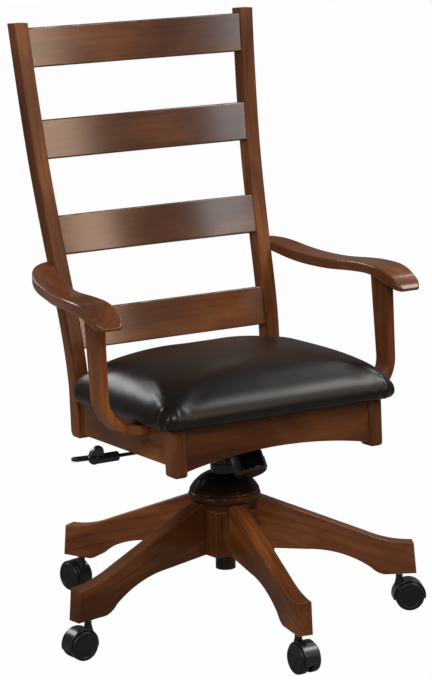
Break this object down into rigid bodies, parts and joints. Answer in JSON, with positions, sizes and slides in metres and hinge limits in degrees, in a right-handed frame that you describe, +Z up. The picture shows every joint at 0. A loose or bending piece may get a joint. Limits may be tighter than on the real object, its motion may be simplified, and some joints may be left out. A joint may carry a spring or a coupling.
{
  "type": "office chair",
  "caption": "Wooden ladder-back office chair with arms and a padded seat on a rolling star base, with swivel, gas lift and sprung tilt.",
  "frame": {"origin": "on the floor under the column's axis", "axes": "+Z up, the chair faces -Y, +X to the left of someone seated in it"},
  "size_m": [0.7065, 0.6999, 1.0828],
  "materials": {
    "stained_wood": "satin lacquer over dark stain",
    "plywood": "bare",
    "foam": "bare foam",
    "leather": "smooth semi-gloss",
    "black_plastic": "gloss",
    "black_hood": "gloss",
    "black_steel": "satin black",
    "bright_steel": "plain"
  },
  "bodies": {
    "base": {"hub": "stained_wood", "hub_cap": "stained_wood", "leg_1": "stained_wood", "leg_2": "stained_wood", "leg_3": "stained_wood", "leg_4": "stained_wood", "leg_5": "stained_wood", "leg_dowels": "stained_wood", "caster_sockets": "bright_steel", "outer_tube": "black_steel", "guide_bush": "black_plastic"},
    "caster_1": {"caster_hood_1": "black_hood"},
    "wheel_left_1": {"caster_wheel_left_1": "black_plastic"},
    "wheel_right_1": {"caster_wheel_right_1": "black_plastic"},
    "caster_2": {"caster_hood_2": "black_hood"},
    "wheel_left_2": {"caster_wheel_left_2": "black_plastic"},
    "wheel_right_2": {"caster_wheel_right_2": "black_plastic"},
    "caster_3": {"caster_hood_3": "black_hood"},
    "wheel_left_3": {"caster_wheel_left_3": "black_plastic"},
    "wheel_right_3": {"caster_wheel_right_3": "black_plastic"},
    "caster_4": {"caster_hood_4": "black_hood"},
    "wheel_left_4": {"caster_wheel_left_4": "black_plastic"},
    "wheel_right_4": {"caster_wheel_right_4": "black_plastic"},
    "caster_5": {"caster_hood_5": "black_hood"},
    "wheel_left_5": {"caster_wheel_left_5": "black_plastic"},
    "wheel_right_5": {"caster_wheel_right_5": "black_plastic"},
    "spindle": {"piston_rod": "bright_steel", "thrust_bearing": "bright_steel"},
    "lift": {"pressure_tube": "bright_steel", "tilt_housing": "black_steel"},
    "seat": {"tilt_plate": "black_steel", "tilt_axle": "bright_steel", "tension_bolt": "bright_steel", "tension_spring": "bright_steel", "plate_screws": "bright_steel", "mount_rails": "stained_wood", "front_apron": "stained_wood", "back_apron": "stained_wood", "side_apron_left": "stained_wood", "side_apron_right": "stained_wood", "corner_blocks": "stained_wood", "front_post_left": "stained_wood", "front_post_right": "stained_wood", "back_post_left": "stained_wood", "back_post_right": "stained_wood", "slat_1": "stained_wood", "slat_2": "stained_wood", "slat_3": "stained_wood", "slat_4": "stained_wood", "arm_left": "stained_wood", "arm_right": "stained_wood", "arm_support_left": "stained_wood", "arm_support_right": "stained_wood", "seat_board": "plywood", "seat_foam": "foam", "seat_cover": "leather"},
    "knob": {"tension_knob": "black_plastic"},
    "lever": {"lever_rod": "bright_steel", "lever_handle": "black_plastic"},
    "valve": {"valve_button": "black_plastic"}
  },
  "joints": [
    {"name": "caster_swivel_1", "type": "hinge", "parent": "base", "child": "caster_1", "pos_m": [0.29194, -0.1349, 0.09], "axis": [0, 0, 1], "continuous": true},
    {"name": "wheel_spin_left_1", "type": "hinge", "parent": "caster_1", "child": "wheel_left_1", "pos_m": [0.30815, -0.14174, 0.027], "axis": [0.3891, 0.9212, 0], "continuous": true},
    {"name": "wheel_spin_right_1", "type": "hinge", "parent": "caster_1", "child": "wheel_right_1", "pos_m": [0.30815, -0.14174, 0.027], "axis": [0.3891, 0.9212, 0], "continuous": true},
    {"name": "caster_swivel_2", "type": "hinge", "parent": "base", "child": "caster_2", "pos_m": [-0.03808, -0.31934, 0.09], "axis": [0, 0, 1], "continuous": true},
    {"name": "wheel_spin_left_2", "type": "hinge", "parent": "caster_2", "child": "wheel_left_2", "pos_m": [-0.03765, -0.33693, 0.027], "axis": [0.9997, 0.0244, 0], "continuous": true},
    {"name": "wheel_spin_right_2", "type": "hinge", "parent": "caster_2", "child": "wheel_right_2", "pos_m": [-0.03765, -0.33693, 0.027], "axis": [0.9997, 0.0244, 0], "continuous": true},
    {"name": "caster_swivel_3", "type": "hinge", "parent": "base", "child": "caster_3", "pos_m": [-0.31548, -0.06247, 0.09], "axis": [0, 0, 1], "continuous": true},
    {"name": "wheel_spin_left_3", "type": "hinge", "parent": "caster_3", "child": "wheel_left_3", "pos_m": [-0.33294, -0.06464, 0.027], "axis": [0.1236, -0.9923, 0], "continuous": true},
    {"name": "wheel_spin_right_3", "type": "hinge", "parent": "caster_3", "child": "wheel_right_3", "pos_m": [-0.33294, -0.06464, 0.027], "axis": [0.1236, -0.9923, 0], "continuous": true},
    {"name": "caster_swivel_4", "type": "hinge", "parent": "base", "child": "caster_4", "pos_m": [-0.1569, 0.28073, 0.09], "axis": [0, 0, 1], "continuous": true},
    {"name": "wheel_spin_left_4", "type": "hinge", "parent": "caster_4", "child": "wheel_left_4", "pos_m": [-0.16151, 0.29772, 0.027], "axis": [-0.965, -0.2622, 0], "continuous": true},
    {"name": "wheel_spin_right_4", "type": "hinge", "parent": "caster_4", "child": "wheel_right_4", "pos_m": [-0.16151, 0.29772, 0.027], "axis": [-0.965, -0.2622, 0], "continuous": true},
    {"name": "caster_swivel_5", "type": "hinge", "parent": "base", "child": "caster_5", "pos_m": [0.21851, 0.23597, 0.09], "axis": [0, 0, 1], "continuous": true},
    {"name": "wheel_spin_left_5", "type": "hinge", "parent": "caster_5", "child": "wheel_left_5", "pos_m": [0.22809, 0.25073, 0.027], "axis": [-0.8387, 0.5446, 0], "continuous": true},
    {"name": "wheel_spin_right_5", "type": "hinge", "parent": "caster_5", "child": "wheel_right_5", "pos_m": [0.22809, 0.25073, 0.027], "axis": [-0.8387, 0.5446, 0], "continuous": true},
    {"name": "seat_swivel", "type": "hinge", "parent": "base", "child": "spindle", "pos_m": [0, 0, 0.11], "axis": [0, 0, 1], "continuous": true},
    {"name": "seat_lift", "type": "slide", "parent": "spindle", "child": "lift", "axis": [0, 0, 1], "range_m": [0, 0.08]},
    {"name": "seat_tilt", "type": "hinge", "parent": "lift", "child": "seat", "pos_m": [0, -0.02023, 0.33202], "axis": [-1, 0, 0], "range_deg": [0, 10], "stiffness_Nm_per_rad": 60, "springref_deg": -17.19, "deforming": ["tension_spring"]},
    {"name": "knob_turn", "type": "hinge", "parent": "seat", "child": "knob", "pos_m": [0, -0.0924, 0.31064], "axis": [0, 0.565, 0.8251], "continuous": true},
    {"name": "lever_pull", "type": "hinge", "parent": "lift", "child": "lever", "pos_m": [-0.11, -0.007, 0.34], "axis": [0, 1, 0], "range_deg": [0, 1.9], "stiffness_Nm_per_rad": 8, "springref_deg": -5.73},
    {"name": "valve_press", "type": "slide", "parent": "lift", "child": "valve", "axis": [0, 0, -1], "range_m": [0, 0.0037]}
  ],
  "couplings": [
    {"joint": "valve_press", "follows": "lever_pull", "m_per_rad": 0.11}
  ]
}
